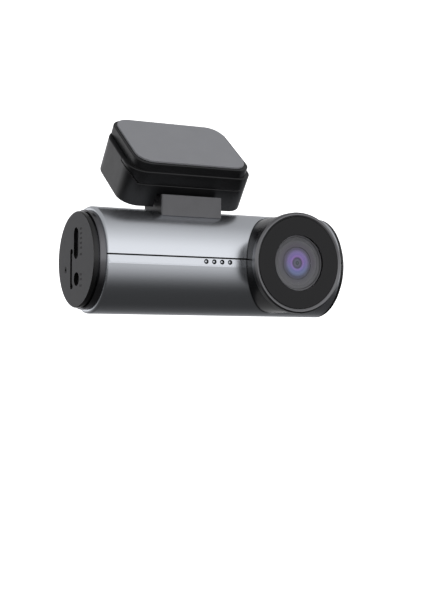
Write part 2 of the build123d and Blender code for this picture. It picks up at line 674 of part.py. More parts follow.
def usb_receptacle():
    """Reversible USB socket: a rounded metal shell with the contact tongue."""
    mouth = PORT_FACE_X + PORT_COVER_T + 0.1
    back = mouth + USB_DEPTH
    body = slot_x(mouth, back, USB_Y, USB_Z, USB_W, USB_H)
    body -= slot_x(mouth - 1, back - 1.0, USB_Y, USB_Z, USB_W - 0.6, USB_H - 0.6)
    return body + block(mouth + 0.8, back - 0.9, USB_Y - 0.35, USB_Y + 0.35, USB_Z - 3.35, USB_Z + 3.35)


def av_jack():
    """Socket for the rear camera's 2.5 mm plug."""
    mouth = PORT_FACE_X + PORT_COVER_T + 0.2
    body = block(BOX_X0 - 0.8, BOX_X0 + 10.4, AV_Y - 2.1, BOARD_Y0 - 0.05, AV_Z - 2.6, AV_Z + 2.6)
    body += rod_x(mouth, BOX_X0, 1.95, AV_Y, AV_Z)
    return body - rod_x(mouth - 1, mouth + AV_BORE_DEPTH, AV_BORE_R, AV_Y, AV_Z)


def card_socket():
    """Pressed-metal memory card socket, open towards the port end."""
    mouth, back = BOX_X0 + BOX_END_WALL + 0.1, -29.0
    y0, y1 = BOARD_Y1 + FIT, CARD_Y + CARD_T / 2 + 0.45
    body = block(mouth, back, y0, y1, CARD_Z - 7.0, CARD_Z + 7.0)
    cavity_x1 = PORT_FACE_X + 1.2 + CARD_L + 0.8
    half_w, half_t = CARD_W / 2 + 0.2, CARD_T / 2 + 0.15
    return body - block(mouth - 1, cavity_x1, CARD_Y - half_t, CARD_Y + half_t,
                        CARD_Z - half_w, CARD_Z + half_w)


def memory_card():
    """A microSD-size card with its thicker finger grip at the outer end."""
    outer = PORT_FACE_X + 1.2
    card = block(outer, outer + CARD_L, CARD_Y - CARD_T / 2, CARD_Y + CARD_T / 2,
                 CARD_Z - CARD_W / 2, CARD_Z + CARD_W / 2)
    notch = block(outer + CARD_L - 6.4, outer + CARD_L + 1, CARD_Y - 1, CARD_Y + 1,
                  CARD_Z - CARD_W / 2 - 1, CARD_Z - CARD_W / 2 + 1.3)
    grip = block(outer, outer + 1.0, CARD_Y - CARD_T / 2 - 0.12, CARD_Y, CARD_Z - 5.0, CARD_Z + 5.0)
    return card - notch + grip


def reset_button():
    """Plunger behind the pinhole, pushed with a paper clip."""
    tip = PORT_FACE_X + PORT_COVER_T + 0.05
    stem_end = BOX_X0 + BOX_END_WALL + 0.3
    return rod_x(tip, tip + 1.4, 0.9, RESET_Y, RESET_Z) + rod_x(tip, stem_end, 0.55, RESET_Y, RESET_Z)


def reset_switch():
    """Tactile switch whose face is just past the plunger's travel."""
    x0 = BOX_X0 + BOX_END_WALL + 0.3 + RESET_TRAVEL + 0.05
    return block(x0, x0 + 2.2, RESET_Y - 1.7, FRAME_Y0 - 0.1, RESET_Z - 1.7, RESET_Z + 1.7)


def speaker():
    basket = rod_y(-14.3, -11.4, 4.6, SPEAKER_X, SOUND_HOLE_Z)
    return basket + rod_y(-14.6, -14.2, 3.6, SPEAKER_X, SOUND_HOLE_Z)


def speaker_gasket():
    ring = rod_y(-15.0, -14.62, 3.6, SPEAKER_X, SOUND_HOLE_Z)
    return ring - rod_y(-16, -14, 3.05, SPEAKER_X, SOUND_HOLE_Z)


def microphone():
    return block(SOUND_HOLE_X0 - 0.8, SOUND_HOLE_X0 + 0.9, -14.8, -11.4,
                 SOUND_HOLE_Z - 1.6, SOUND_HOLE_Z + 1.6)


def audio_board():
    return plate_y(-13.0, 2.2, -11.35, -10.55, -5.5, 5.0, 0.8)


def supercapacitors():
    """Two cells that keep the camera alive while it saves its last file."""
    return Compound([rod_x(-36.0, -14.0, CAPACITOR_R, CAPACITOR_Y, side * CAPACITOR_Z) for side in (-1, 1)])


def capacitor_cradle():
    cradle = block(-31.0, -17.0, CAPACITOR_Y, BOARD_Y0 - 0.95, -10.4, 10.4)
    for side in (-1, 1):
        cradle -= rod_x(-40, -10, CAPACITOR_R + 0.05, CAPACITOR_Y, side * CAPACITOR_Z)
    return cradle & rod_x(-40, -10, 13.0)


def backlight():
    return block(DISPLAY_X0, DISPLAY_X1, FRAME_Y1 + 0.1, 14.5, -DISPLAY_HALF_Z, DISPLAY_HALF_Z)


def display_panel():
    return block(DISPLAY_X0, DISPLAY_X1, 14.52, 16.65, -DISPLAY_HALF_Z, DISPLAY_HALF_Z)


def screen_tape():
    """Adhesive frame that holds the screen's cover glass."""
    y0, y1 = SCREEN_FACE_Y - SCREEN_T - 0.18, SCREEN_FACE_Y - SCREEN_T - FIT
    tape = plate_y(SCREEN_X0 + 0.3, SCREEN_X1 - 0.3, y0, y1, -SCREEN_HALF_Z + 0.3, SCREEN_HALF_Z - 0.3, 1.4)
    return tape - block(DISPLAY_X0 - 0.4, DISPLAY_X1 + 0.4, 10, 20,
                        -DISPLAY_HALF_Z - 0.4, DISPLAY_HALF_Z + 0.4)


def screen_glass():
    glass = plate_y(SCREEN_X0, SCREEN_X1, SCREEN_FACE_Y - SCREEN_T, SCREEN_FACE_Y,
                    -SCREEN_HALF_Z, SCREEN_HALF_Z, 1.6)
    return chamfer(glass.faces().sort_by(Axis.Y)[-1].edges(), 0.15)


def camera_flex():
    """Ribbon from the sensor board to the main board."""
    x0, x1, t = 17.6, 24.0, 0.15
    run = block(x0, x1, SENSOR_BOARD_Y + 0.82, BOARD_Y0 - FIT, -9.4 - t, -9.4)
    board_end = block(x0, x1, BOARD_Y0 - FIT - t, BOARD_Y0 - FIT, -9.5, -5.0)
    sensor_end = block(x0, x1, SENSOR_BOARD_Y + 0.82, SENSOR_BOARD_Y + 0.82 + t, -9.5, -5.0)
    return run + board_end + sensor_end


def display_flex():
    """Ribbon from the display round the inner frame to the main board."""
    x0, x1, t = -14.0, -4.0, 0.15
    run = block(x0, x1, BOARD_Y1 + FIT, 14.2, -11.0 - t, -11.0)
    board_end = block(x0, x1, BOARD_Y1 + FIT, BOARD_Y1 + FIT + t, -11.1, -9.6)
    display_end = block(x0, x1, 14.2 - t, 14.2, -11.1, -DISPLAY_HALF_Z - FIT)
    return run + board_end + display_end


# --------------------------------------------------------------------- export
MOUNT_PARTS = [adhesive_pad, base_plate, mount_holder, hinge_pin, pin_plug, detent_spring]

CAMERA_PARTS = [
    bracket, bracket_cover, friction_washers, bracket_backplate, bracket_screws,
    upper_shell, lower_shell, rear_housing,
    port_end_frame, port_cover, lens_end_frame, end_cover, end_screws,
    lens_pod, bezel_ring, front_glass, glass_mask, lens_barrel, lens_ring,
    front_lens, middle_lens, rear_lens,
    lens_mount, ir_filter, image_sensor, sensor_board, sensor_screws,
    main_board, board_screws, inner_frame, frame_screws,
    processor, heat_spreader, memory_chips, wifi_module,
    usb_receptacle, av_jack, card_socket, memory_card, reset_button, reset_switch,
    speaker, speaker_gasket, microphone, audio_board, supercapacitors, capacitor_cradle,
    backlight, display_panel, screen_tape, screen_glass, camera_flex, display_flex,
]


def main():
    os.makedirs("parts", exist_ok=True)
    for frame, makers in ((MOUNT_FRAME, MOUNT_PARTS), (CAMERA_FRAME, CAMERA_PARTS)):
        for maker in makers:
            shape = frame * maker()
            export_step(shape, f"parts/{maker.__name__}.step")


main()
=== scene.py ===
"""Looks of the dash camera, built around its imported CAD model. Metres, row frame."""

import json
from math import cos, pi, radians, sin

import bmesh
import bpy
from mathutils import Matrix, Vector


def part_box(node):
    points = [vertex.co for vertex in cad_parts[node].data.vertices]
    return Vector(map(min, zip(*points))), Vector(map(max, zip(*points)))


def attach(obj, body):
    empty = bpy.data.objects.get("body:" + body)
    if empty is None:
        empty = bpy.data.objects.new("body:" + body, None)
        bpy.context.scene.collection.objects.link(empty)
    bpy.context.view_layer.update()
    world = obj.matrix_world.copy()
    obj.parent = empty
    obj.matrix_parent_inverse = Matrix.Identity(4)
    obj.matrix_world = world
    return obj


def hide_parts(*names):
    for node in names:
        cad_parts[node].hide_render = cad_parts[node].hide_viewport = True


MM = 0.001

# The barrel's axis and the lens's centre line, as modelled in the CAD part. Lengths
# given in millimetres below are measured from this axis.
AXIS = Vector((10.2, 0.8, -39.5)) * MM
LENS_X = 21.5
LENS = AXIS + Vector((LENS_X, 0, 0)) * MM

# Openings and glass that the looks follow, in millimetres.
HOLE_COUNT, HOLE_X0, HOLE_PITCH, HOLE_Z = 4, -9.05, 2.85, -0.3
WINDOW_FRONT_Y, WINDOW_BACK_Y = -23.28, -22.5
WINDOW_RIM_R, WINDOW_CLEAR_R = 14.95, 9.05
SCREEN_BACK_Y, SCREEN_T = 16.7, 0.9
SEAM_BOTTOM_Y, SEAM_Z0, SEAM_Z1 = -15.85, 0.72, 1.18
PIN_HOLE_Y, PIN_HOLE_Z = 8.7, -2.9
RAISED = 0.01                         # thickness of printed marks and digits

# Photograph's viewpoint, measured from the barrel's axis.
VIEW_AZIMUTH, VIEW_ELEVATION, VIEW_ROLL = radians(-28.156), radians(-2.078), radians(0.232)
VIEW_DISTANCE, VIEW_RIGHT, VIEW_UP = 408.383 * MM, 3.991 * MM, -11.774 * MM
FOCAL_LENGTH = 73.9

# Painted reflection of the lens coatings: colours by share of their radius, in the upper and lower half,
# with a lighter centre dot, a dark ring, a violet glow above and a blue glow below.
LENS_COATING_R = 7.4 * MM
PAINTED_REFLECTION_CENTRE = [(0.0, (0.20, 0.26, 0.26)), (0.05, (0.07, 0.08, 0.09)), (0.12, (0.20, 0.20, 0.26)),
                  (0.22, (0.12, 0.10, 0.18))]
PAINTED_REFLECTION_VIOLET = PAINTED_REFLECTION_CENTRE + [(0.29, (0.50, 0.30, 0.72)), (0.38, (0.33, 0.24, 0.60)),
                                   (0.48, (0.34, 0.26, 0.56)), (0.60, (0.17, 0.15, 0.22)),
                                   (0.78, (0.13, 0.12, 0.15)), (1.0, (0.15, 0.15, 0.16))]
PAINTED_REFLECTION_BLUE = PAINTED_REFLECTION_CENTRE + [(0.29, (0.42, 0.36, 0.78)), (0.38, (0.27, 0.30, 0.60)),
                                 (0.48, (0.28, 0.34, 0.56)), (0.60, (0.15, 0.16, 0.22)),
                                 (0.78, (0.12, 0.12, 0.14)), (1.0, (0.15, 0.15, 0.16))]
GLOSS_BLACK = (0.008, 0.008, 0.008)
# Where the black band at the lens end of the shell starts, along the barrel.
BLACK_BAND_X = AXIS.x + 41.7 * MM
EDGE = 0.15 * MM                      # rounding that moulded edges show

FLOOR_Z = -0.9
BACKDROP_R = 3.2


def add_mesh(name, verts, faces, body, smooth=True):
    """A mesh piece that rides on a CAD body."""
    mesh = bpy.data.meshes.new(name)
    mesh.from_pydata([tuple(v) for v in verts], [], faces)
    mesh.validate()
    for polygon in mesh.polygons:
        polygon.use_smooth = smooth
    obj = bpy.data.objects.new(name, mesh)
    bpy.context.scene.collection.objects.link(obj)
    if body:
        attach(obj, body)
    return obj


# ------------------------------------------------------------ camera and light
def make_camera():
    """Camera at the photograph's viewing angle."""
    back = Vector((sin(VIEW_AZIMUTH) * cos(VIEW_ELEVATION), -cos(VIEW_AZIMUTH) * cos(VIEW_ELEVATION),
                   sin(VIEW_ELEVATION)))
    level_right = Vector((0, 0, 1)).cross(back).normalized()
    level_up = back.cross(level_right)
    right = level_right * cos(VIEW_ROLL) + level_up * sin(VIEW_ROLL)
    up = back.cross(right)
    place = AXIS + right * VIEW_RIGHT + up * VIEW_UP + back * VIEW_DISTANCE
    data = bpy.data.cameras.new("camera")
    data.sensor_width = 36.0
    data.lens = FOCAL_LENGTH
    data.clip_start, data.clip_end = 0.01, 20.0
    camera = bpy.data.objects.new("camera", data)
    bpy.context.scene.collection.objects.link(camera)
    rotation = Matrix((right, up, back)).transposed().to_4x4()
    camera.matrix_world = Matrix.Translation(place) @ rotation
    bpy.context.scene.camera = camera


# Studio light by its angle round the barrel, in degrees: 0 is straight ahead of
# the lens, 90 overhead and -90 below. Each stop is (angle, brightness).
STUDIO = [(-180, 1.0), (-170, 0.62), (-160, 0.28), (-140, 0.09), (-115, 0.04), (-60, 0.04), (-42, 0.13),
          (-25, 0.36), (-8, 0.52), (2, 0.98), (35, 0.90), (60, 0.62), (90, 0.38), (150, 0.36), (168, 0.80),
          (180, 1.0)]


def make_studio():
    """Soft light from a large box in front and above, white behind, dark below."""
    world = bpy.data.worlds.new("studio")
    bpy.context.scene.world = world
    world.use_nodes = True
    tree = world.node_tree
    tree.nodes.clear()
    new, link = tree.nodes.new, tree.links.new
    coordinates = new("ShaderNodeTexCoord")
    split = new("ShaderNodeSeparateXYZ")
    link(coordinates.outputs["Generated"], split.inputs[0])
    ahead = new("ShaderNodeMath")
    ahead.operation = "MULTIPLY"
    ahead.inputs[1].default_value = -1.0
    link(split.outputs["Y"], ahead.inputs[0])
    angle = new("ShaderNodeMath")
    angle.operation = "ARCTAN2"
    link(split.outputs["Z"], angle.inputs[0])
    link(ahead.outputs[0], angle.inputs[1])
    turn = new("ShaderNodeMapRange")
    turn.inputs["From Min"].default_value = -pi
    turn.inputs["From Max"].default_value = pi
    link(angle.outputs[0], turn.inputs["Value"])
    ramp = new("ShaderNodeValToRGB")
    link(turn.outputs["Result"], ramp.inputs[0])
    fill_ramp(ramp, [((stop + 180) / 360, (level, level, level * 1.02)) for stop, level in STUDIO])
    background = new("ShaderNodeBackground")
    link(ramp.outputs[0], background.inputs["Color"])
    output = new("ShaderNodeOutputWorld")
    link(background.outputs[0], output.inputs[0])


def fill_ramp(ramp, stops):
    """Sets a colour ramp's stops, given as (position, colour)."""
    elements = ramp.color_ramp.elements
    while len(elements) > 1:
        elements.remove(elements[-1])
    elements[0].position = stops[0][0]
    elements[0].color = (*stops[0][1], 1)
    for position, colour in stops[1:]:
        elements.new(position).color = (*colour, 1)


def make_backdrop():
    """White floor that sweeps up into a wall and a ceiling all round."""
    profile = [(0, 0), (0.78, 0), (0.90, 0.02), (0.97, 0.08), (1.0, 0.18), (1.0, 0.9),
               (0.95, 1.1), (0.8, 1.25), (0, 1.3)]
    steps = 48
    verts, faces = [], []
    for radius, height in profile:
        for i in range(steps):
            turn = 2 * pi * i / steps
            verts.append((radius * BACKDROP_R * cos(turn), radius * BACKDROP_R * sin(turn),
                          FLOOR_Z + height * BACKDROP_R))
    for row in range(len(profile) - 1):
        for i in range(steps):
            j = (i + 1) % steps
            faces.append((row * steps + i, row * steps + j, (row + 1) * steps + j, (row + 1) * steps + i))
    backdrop = add_mesh("backdrop", verts, faces, None)
    material = bpy.data.materials.new("backdrop_white")
    material.use_nodes = True
    tree = material.node_tree
    shader = tree.nodes["Principled BSDF"]
    shader.inputs["Base Color"].default_value = (0.9, 0.9, 0.9, 1)
    shader.inputs["Emission Color"].default_value = (1, 1, 1, 1)
    shader.inputs["Emission Strength"].default_value = 1.0
    backdrop.data.materials.append(material)
    for ray in ("visible_diffuse", "visible_glossy", "visible_transmission", "visible_shadow"):
        setattr(backdrop, ray, False)


# ------------------------------------------------------------------ materials
class Surface:
    """A Principled material with the procedural parts it is given."""

    def __init__(self, name, colour, roughness, metallic=0.0, **sockets):
        self.material = bpy.data.materials.new(name)
        self.material.use_nodes = True
        self.tree = self.material.node_tree
        self.shader = self.tree.nodes["Principled BSDF"]
        self.shader.inputs["Base Color"].default_value = (*colour, 1)
        self.shader.inputs["Roughness"].default_value = roughness
        self.shader.inputs["Metallic"].default_value = metallic
        for socket, value in sockets.items():
            self.shader.inputs[socket.replace("_", " ")].default_value = value
        self.colour, self.roughness = colour, roughness
        self.coordinates = self.tree.nodes.new("ShaderNodeTexCoord")

    def add(self, kind):
        return self.tree.nodes.new(kind)

    def link(self, source, target):
        self.tree.links.new(source, target)

    def noise(self, size, detail=3.0):
        """Noise whose features are about this many metres across."""
        node = self.add("ShaderNodeTexNoise")
        node.inputs["Scale"].default_value = 1 / size
        node.inputs["Detail"].default_value = detail
        self.link(self.coordinates.outputs["Object"], node.inputs["Vector"])
        return node.outputs["Fac"]

    def spread(self, source, low, high, low_in=0.35, high_in=0.65):
        """Maps a value from one range to another."""
        node = self.add("ShaderNodeMapRange")
        node.inputs["From Min"].default_value = low_in
        node.inputs["From Max"].default_value = high_in
        node.inputs["To Min"].default_value = low
        node.inputs["To Max"].default_value = high
        self.link(source, node.inputs["Value"])
        return node.outputs["Result"]

    def axis(self, vector, name):
        """One coordinate of a vector."""
        split = self.add("ShaderNodeSeparateXYZ")
        self.link(vector, split.inputs[0])
        return split.outputs[name]

    def ramp(self, source, stops):
        """Colours along a value from 0 to 1."""
        node = self.add("ShaderNodeValToRGB")
        fill_ramp(node, stops)
        self.link(source, node.inputs[0])
        return node.outputs[0]

    def vector_math(self, operation, vector, value=None):
        """A vector operation, with a constant as its second input if one is given."""
        node = self.add("ShaderNodeVectorMath")
        node.operation = operation
        self.link(vector, node.inputs[0])
        if value is not None:
            node.inputs[1].default_value = value
        return node

    def turn_to(self, share, colour, roughness):
        """Turns to another colour and roughness as the share rises from 0 to 1."""
        blend = self.ramp(share, [(0.0, self.colour), (1.0, colour)])
        self.link(blend, self.shader.inputs["Base Color"])
        value = self.spread(share, self.roughness, roughness, 0.0, 1.0)
        self.link(value, self.shader.inputs["Roughness"])
        return self

    def tint(self, size, amount):
        """Colour that drifts darker and lighter by a share of itself."""
        dark = tuple(c * (1 - amount) for c in self.colour)
        light = tuple(min(1, c * (1 + amount)) for c in self.colour)
        drift = self.ramp(self.noise(size), [(0.35, dark), (0.65, light)])
        self.link(drift, self.shader.inputs["Base Color"])
        return self

    def haze(self, size, amount):
        """Roughness that varies, as handling and moulding leave it."""
        value = self.spread(self.noise(size), self.roughness - amount, self.roughness + amount)
        self.link(value, self.shader.inputs["Roughness"])
        return self

    def grain(self, size, strength, edge=0.0):
        """Fine moulded grain, on edges that are slightly rounded."""
        bump = self.add("ShaderNodeBump")
        bump.inputs["Strength"].default_value = strength
        bump.inputs["Distance"].default_value = size
        self.link(self.noise(size, detail=2.0), bump.inputs["Height"])
        if edge:
            bevel = self.add("ShaderNodeBevel")
            bevel.samples = 4
            bevel.inputs["Radius"].default_value = edge
            self.link(bevel.outputs[0], bump.inputs["Normal"])
        self.link(bump.outputs[0], self.shader.inputs["Normal"])
        return self


def plastic(name, colour, roughness, grain=0.06, edge=0.0, drift=0.05):
    """Moulded plastic: fine grain, colour that drifts a little, and handling haze."""
    return (Surface(name, colour, roughness)
            .tint(0.006, drift).haze(0.006, 0.03).grain(0.00025, grain, edge).material)


def metal(name, colour, roughness):
    """Satin metal."""
    return (Surface(name, colour, roughness, metallic=1.0)
            .tint(0.006, 0.008).haze(0.006, 0.01).grain(0.0002, 0.004).material)


def glass(name, tint, floor=0.0):
    """Thin clear glass: what is behind it, under a reflection that grows edge-on."""
    polish, smear = 0.02, 0.03
    material = bpy.data.materials.new(name)
    material.use_nodes = True
    tree = material.node_tree
    tree.nodes.clear()
    new, link = tree.nodes.new, tree.links.new
    facing = new("ShaderNodeLayerWeight")
    facing.inputs["Blend"].default_value = 0.5
    power = new("ShaderNodeMath")
    power.operation = "POWER"
    power.inputs[1].default_value = 5.0
    link(facing.outputs["Facing"], power.inputs[0])
    share = new("ShaderNodeMapRange")
    share.inputs["To Min"].default_value = floor
    link(power.outputs[0], share.inputs["Value"])
    clear = new("ShaderNodeBsdfTransparent")
    clear.inputs["Color"].default_value = (*tint, 1)
    gloss = new("ShaderNodeBsdfGlossy")
    coordinates = new("ShaderNodeTexCoord")
    smears = new("ShaderNodeTexNoise")
    smears.inputs["Scale"].default_value = 180.0
    link(coordinates.outputs["Object"], smears.inputs["Vector"])
    haze = new("ShaderNodeMapRange")
    haze.inputs["To Min"].default_value = polish
    haze.inputs["To Max"].default_value = polish + smear
    link(smears.outputs["Fac"], haze.inputs["Value"])
    link(haze.outputs["Result"], gloss.inputs["Roughness"])
    mix = new("ShaderNodeMixShader")
    link(share.outputs["Result"], mix.inputs[0])
    link(clear.outputs[0], mix.inputs[1])
    link(gloss.outputs[0], mix.inputs[2])
    output = new("ShaderNodeOutputMaterial")
    link(mix.outputs[0], output.inputs["Surface"])
    return material


def slot_materials():
    """One material for each of the record's slots."""
    return {
        "foam_grey": plastic("foam_grey", (0.33, 0.335, 0.35), 0.7, drift=0.02),
        "mount_black": plastic("mount_black", (0.006, 0.006, 0.0065), 0.36, edge=EDGE),
        "silver": shell_material(),
        "bracket_black": plastic("bracket_black", (0.008, 0.008, 0.008), 0.45, edge=EDGE),
        "bracket_grey": plastic("bracket_grey", (0.15, 0.15, 0.155), 0.55, edge=EDGE),
        "housing_black": plastic("housing_black", (0.009, 0.009, 0.01), 0.3, edge=EDGE),
        "port_grey": port_face_material(),
        "end_gunmetal": metal("end_gunmetal", (0.17, 0.17, 0.178), 0.18),
        "pod_black": plastic("pod_black", (0.006, 0.006, 0.007), 0.24, grain=0.01, edge=EDGE),
        "bezel_grey": metal("bezel_grey", (0.19, 0.19, 0.195), 0.33),
        "front_glass": glass("front_glass", (0.98, 0.98, 0.98)),
        "mask_black": plastic("mask_black", (0.010, 0.010, 0.0105), 0.6, grain=0.01),
        "lens_grey": metal("lens_grey", (0.12, 0.12, 0.125), 0.45),
        "lens_black": plastic("lens_black", (0.17, 0.17, 0.178), 0.5, grain=0.01),
        "lens_glass": glass("lens_glass", (0.97, 0.97, 0.99)),
        "filter_glass": glass("filter_glass", (0.6, 0.8, 0.8), floor=0.04),
        "screen_glass": glass("screen_glass", (0.9, 0.9, 0.92)),
        "display": plastic("display", (0.014, 0.014, 0.016), 0.12, grain=0.003),
        "backlight_metal": metal("backlight_metal", (0.6, 0.6, 0.6), 0.4),
        "pcb_green": plastic("pcb_green", (0.015, 0.09, 0.04), 0.4),
        "chip_black": plastic("chip_black", (0.02, 0.02, 0.02), 0.55),
        "sensor": plastic("sensor", (0.05, 0.06, 0.09), 0.15),
        "steel": metal("steel", (0.55, 0.56, 0.58), 0.3),
        "pin_steel": metal("pin_steel", (0.5, 0.5, 0.52), 0.25),
        "fin_aluminium": metal("fin_aluminium", (0.7, 0.71, 0.72), 0.35),
        "nylon_white": plastic("nylon_white", (0.65, 0.65, 0.62), 0.5),
        "frame_plastic": plastic("frame_plastic", (0.03, 0.03, 0.03), 0.6),
        "cell_sleeve": plastic("cell_sleeve", (0.02, 0.04, 0.12), 0.4),
        "felt": plastic("felt", (0.012, 0.012, 0.012), 0.95),
        "flex_amber": plastic("flex_amber", (0.35, 0.14, 0.02), 0.3),
        "card_black": plastic("card_black", (0.02, 0.02, 0.02), 0.5),
        "tape_black": plastic("tape_black", (0.01, 0.01, 0.01), 0.8),
    }


def shell_material():
    """Satin silver, turning to gloss black in a narrow band round the lens end."""
    surface = Surface("silver", (0.80, 0.83, 0.87), 0.27, metallic=1.0)
    along = surface.axis(surface.coordinates.outputs["Object"], "X")
    band = surface.spread(along, 0.0, 1.0, BLACK_BAND_X, BLACK_BAND_X + 0.05 * MM)
    surface.link(surface.spread(band, 1.0, 0.0, 0.0, 1.0), surface.shader.inputs["Metallic"])
    return surface.turn_to(band, GLOSS_BLACK, 0.12).grain(0.0002, 0.002).material


def port_face_material():
    """Matte sparked grey on the flat face, gloss black round its edge."""
    surface = Surface("port_grey", (0.085, 0.085, 0.088), 0.6)
    facing = surface.add("ShaderNodeMath")
    facing.operation = "ABSOLUTE"
    normal = surface.add("ShaderNodeNewGeometry").outputs["Normal"]
    surface.link(surface.axis(normal, "X"), facing.inputs[0])
    rim = surface.spread(facing.outputs[0], 1.0, 0.0, 0.75, 0.95)
    return surface.turn_to(rim, GLOSS_BLACK, 0.2).grain(0.00025, 0.08).material


def painted_reflection_material():
    """Painted reflection of the stacked lenses' anti-reflection coatings, by distance from their centre:
    the coloured glow is base colour.
    """
    surface = Surface("lens_painted_reflection", (0.1, 0.1, 0.1), 0.25, Coat_Weight=0.3)
    from_centre = surface.vector_math("SUBTRACT", surface.coordinates.outputs["Object"], LENS)
    flat = surface.vector_math("MULTIPLY", from_centre.outputs[0], (1, 0, 1))
    reach = surface.vector_math("LENGTH", flat.outputs[0])
    radius = surface.spread(reach.outputs["Value"], 0.0, 1.0, 0.0, LENS_COATING_R)
    height = surface.axis(from_centre.outputs[0], "Z")
    # Painted reflection: violet glow in the upper half, blue glow in the lower half.
    mix = surface.add("ShaderNodeMix")
    mix.data_type = "RGBA"
    surface.link(surface.spread(height, 1.0, 0.0, -2.6 * MM, 0.4 * MM), mix.inputs["Factor"])
    surface.link(surface.ramp(radius, PAINTED_REFLECTION_VIOLET), mix.inputs["A"])
    surface.link(surface.ramp(radius, PAINTED_REFLECTION_BLUE), mix.inputs["B"])
    surface.link(mix.outputs["Result"], surface.shader.inputs["Base Color"])
    return surface.grain(0.002, 0.02).material


def print_black(name, shade):
    """Black print seen through polished glass."""
    surface = Surface(name, (shade, shade, shade * 1.05), 0.06, IOR=1.33)
    return surface.tint(0.01, 0.03).haze(0.01, 0.01).material


def light_material(name, colour, strength):
    """Lit characters of the display."""
    surface = Surface(name, colour, 0.4)
    surface.shader.inputs["Emission Color"].default_value = (*colour, 1)
    surface.shader.inputs["Emission Strength"].default_value = strength
    return surface.tint(0.001, 0.03).material


def finish_cad(frame, materials):
    """Gives every CAD node the material of its slot."""
    for part in frame["record"]["subparts"]:
        data = frame["nodes"][part["node"]].data
        data.materials.clear()
        data.materials.append(materials[part["material_slot"]])


# --------------------------------------------------------------------- pieces
def lathe(name, profile, material, x=0.0, z=0.0, steps=72):
    """A turned piece on the camera body: a closed (y, radius) profile about an axis along Y."""
    verts, faces, rows = [], [], []
    for y, radius in profile:
        count = steps if radius else 1
        rows.append((len(verts), count))
        for i in range(count):
            turn = 2 * pi * i / steps
            verts.append(AXIS + Vector((x + radius * cos(turn), y, z + radius * sin(turn))) * MM)
    for row, (start, count) in enumerate(rows):
        following, next_count = rows[(row + 1) % len(rows)]
        for i in range(steps):
            j = (i + 1) % steps
            around = [start + i % count, start + j % count, following + j % next_count,
                      following + i % next_count]
            face = list(dict.fromkeys(around))
            if len(face) > 2:
                faces.append(face)
    piece = add_mesh(name, verts, faces, "camera")
    finish_piece(piece, material)
    return piece


def finish_piece(piece, material):
    """Outward normals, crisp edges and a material."""
    mesh = bmesh.new()
    mesh.from_mesh(piece.data)
    bmesh.ops.remove_doubles(mesh, verts=mesh.verts, dist=1e-7)
    bmesh.ops.recalc_face_normals(mesh, faces=mesh.faces)
    for edge in mesh.edges:
        edge.smooth = len(edge.link_faces) == 2 and edge.calc_face_angle() < radians(35)
    mesh.to_mesh(piece.data)
    mesh.free()
    piece.data.materials.append(material)


def decal_frame(origin, right, out):
    """Matrix of a drawing plane: local X is right, Z points out of the surface."""
    up = out.cross(right)
    return Matrix.Translation(AXIS + origin * MM) @ Matrix((right, up, out)).transposed().to_4x4()


def flat_shapes(name, outlines, place, thickness, material):
    """Thin raised shapes, each a closed outline in millimetres, on a drawing plane."""
    verts, faces = [], []
    for outline in outlines:
        base, count = len(verts), len(outline)
        for height in (0.0, thickness):
            verts += [place @ (Vector((u, v, height)) * MM) for u, v in outline]
        faces.append([base + i for i in reversed(range(count))])
        faces.append([base + count + i for i in range(count)])
        for i in range(count):
            j = (i + 1) % count
            faces.append([base + i, base + j, base + count + j, base + count + i])
    finish_piece(add_mesh(name, verts, faces, "camera", smooth=False), material)


def arc(u, v, radius, start, end, steps):
    """Points along an arc, with its angles in degrees."""
    return [(u + radius * cos(radians(start + (end - start) * i / steps)),
             v + radius * sin(radians(start + (end - start) * i / steps))) for i in range(steps + 1)]


def ring_pieces(u, v, radius, width, start=0.0, end=360.0, steps=24):
    """A ring or an arc as a row of four-sided outlines."""
    inner, outer = arc(u, v, radius - width, start, end, steps), arc(u, v, radius, start, end, steps)
    return [[outer[i], outer[i + 1], inner[i + 1], inner[i]] for i in range(steps)]


def stroke(points, width):
    """A line of the given width through points, as one outline for each stretch."""
    outlines = []
    for (u0, v0), (u1, v1) in zip(points, points[1:]):
        along = Vector((u1 - u0, v1 - v0)).normalized() * (width / 2)
        side = Vector((-along.y, along.x))
        a, b = Vector((u0, v0)) - along, Vector((u1, v1)) + along
        outlines.append([tuple(a - side), tuple(b - side), tuple(b + side), tuple(a + side)])
    return outlines


def text_piece(name, words, height, offset, place, material):
    """Digits from the built-in font, as a thin mesh."""
    curve = bpy.data.curves.new(name, "FONT")
    curve.body = words
    curve.size = height * MM
    curve.align_x, curve.align_y = "CENTER", "CENTER"
    curve.extrude = RAISED * MM
    curve.offset = offset * MM
    source = bpy.data.objects.new(name + "_outline", curve)
    bpy.context.scene.collection.objects.link(source)
    graph = bpy.context.evaluated_depsgraph_get()
    mesh = bpy.data.meshes.new_from_object(source.evaluated_get(graph))
    bpy.data.objects.remove(source)
    mesh.transform(place)
    piece = bpy.data.objects.new(name, mesh)
    bpy.context.scene.collection.objects.link(piece)
    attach(piece, "camera")
    mesh.materials.clear()
    mesh.materials.append(material)


def rounded(u0, u1, v0, v1, radius):
    """A rectangle's outline, anticlockwise, with rounded corners."""
    points = []
    for u, v, start in ((u1 - radius, v1 - radius, 0), (u0 + radius, v1 - radius, 90),
                        (u0 + radius, v0 + radius, 180), (u1 - radius, v0 + radius, 270)):
        points += arc(u, v, radius, start, start + 90, 6)
    return points


def framed_plate(name, outer, inner, place, thickness, material):
    """A flat plate with an opening: two outlines with the same number of points."""
    count = len(outer)
    verts = [place @ (Vector((u, v, height)) * MM) for height in (0.0, thickness)
             for u, v in outer + inner]
    faces = []
    for i in range(count):
        j = (i + 1) % count
        faces.append([i, j, count + j, count + i])
        faces.append([2 * count + i, 2 * count + j, 3 * count + j, 3 * count + i])
        faces.append([i, j, 2 * count + j, 2 * count + i])
        faces.append([count + i, count + j, 3 * count + j, 3 * count + i])
    piece = add_mesh(name, verts, faces, "camera", smooth=False)
    finish_piece(piece, material)
    return piece


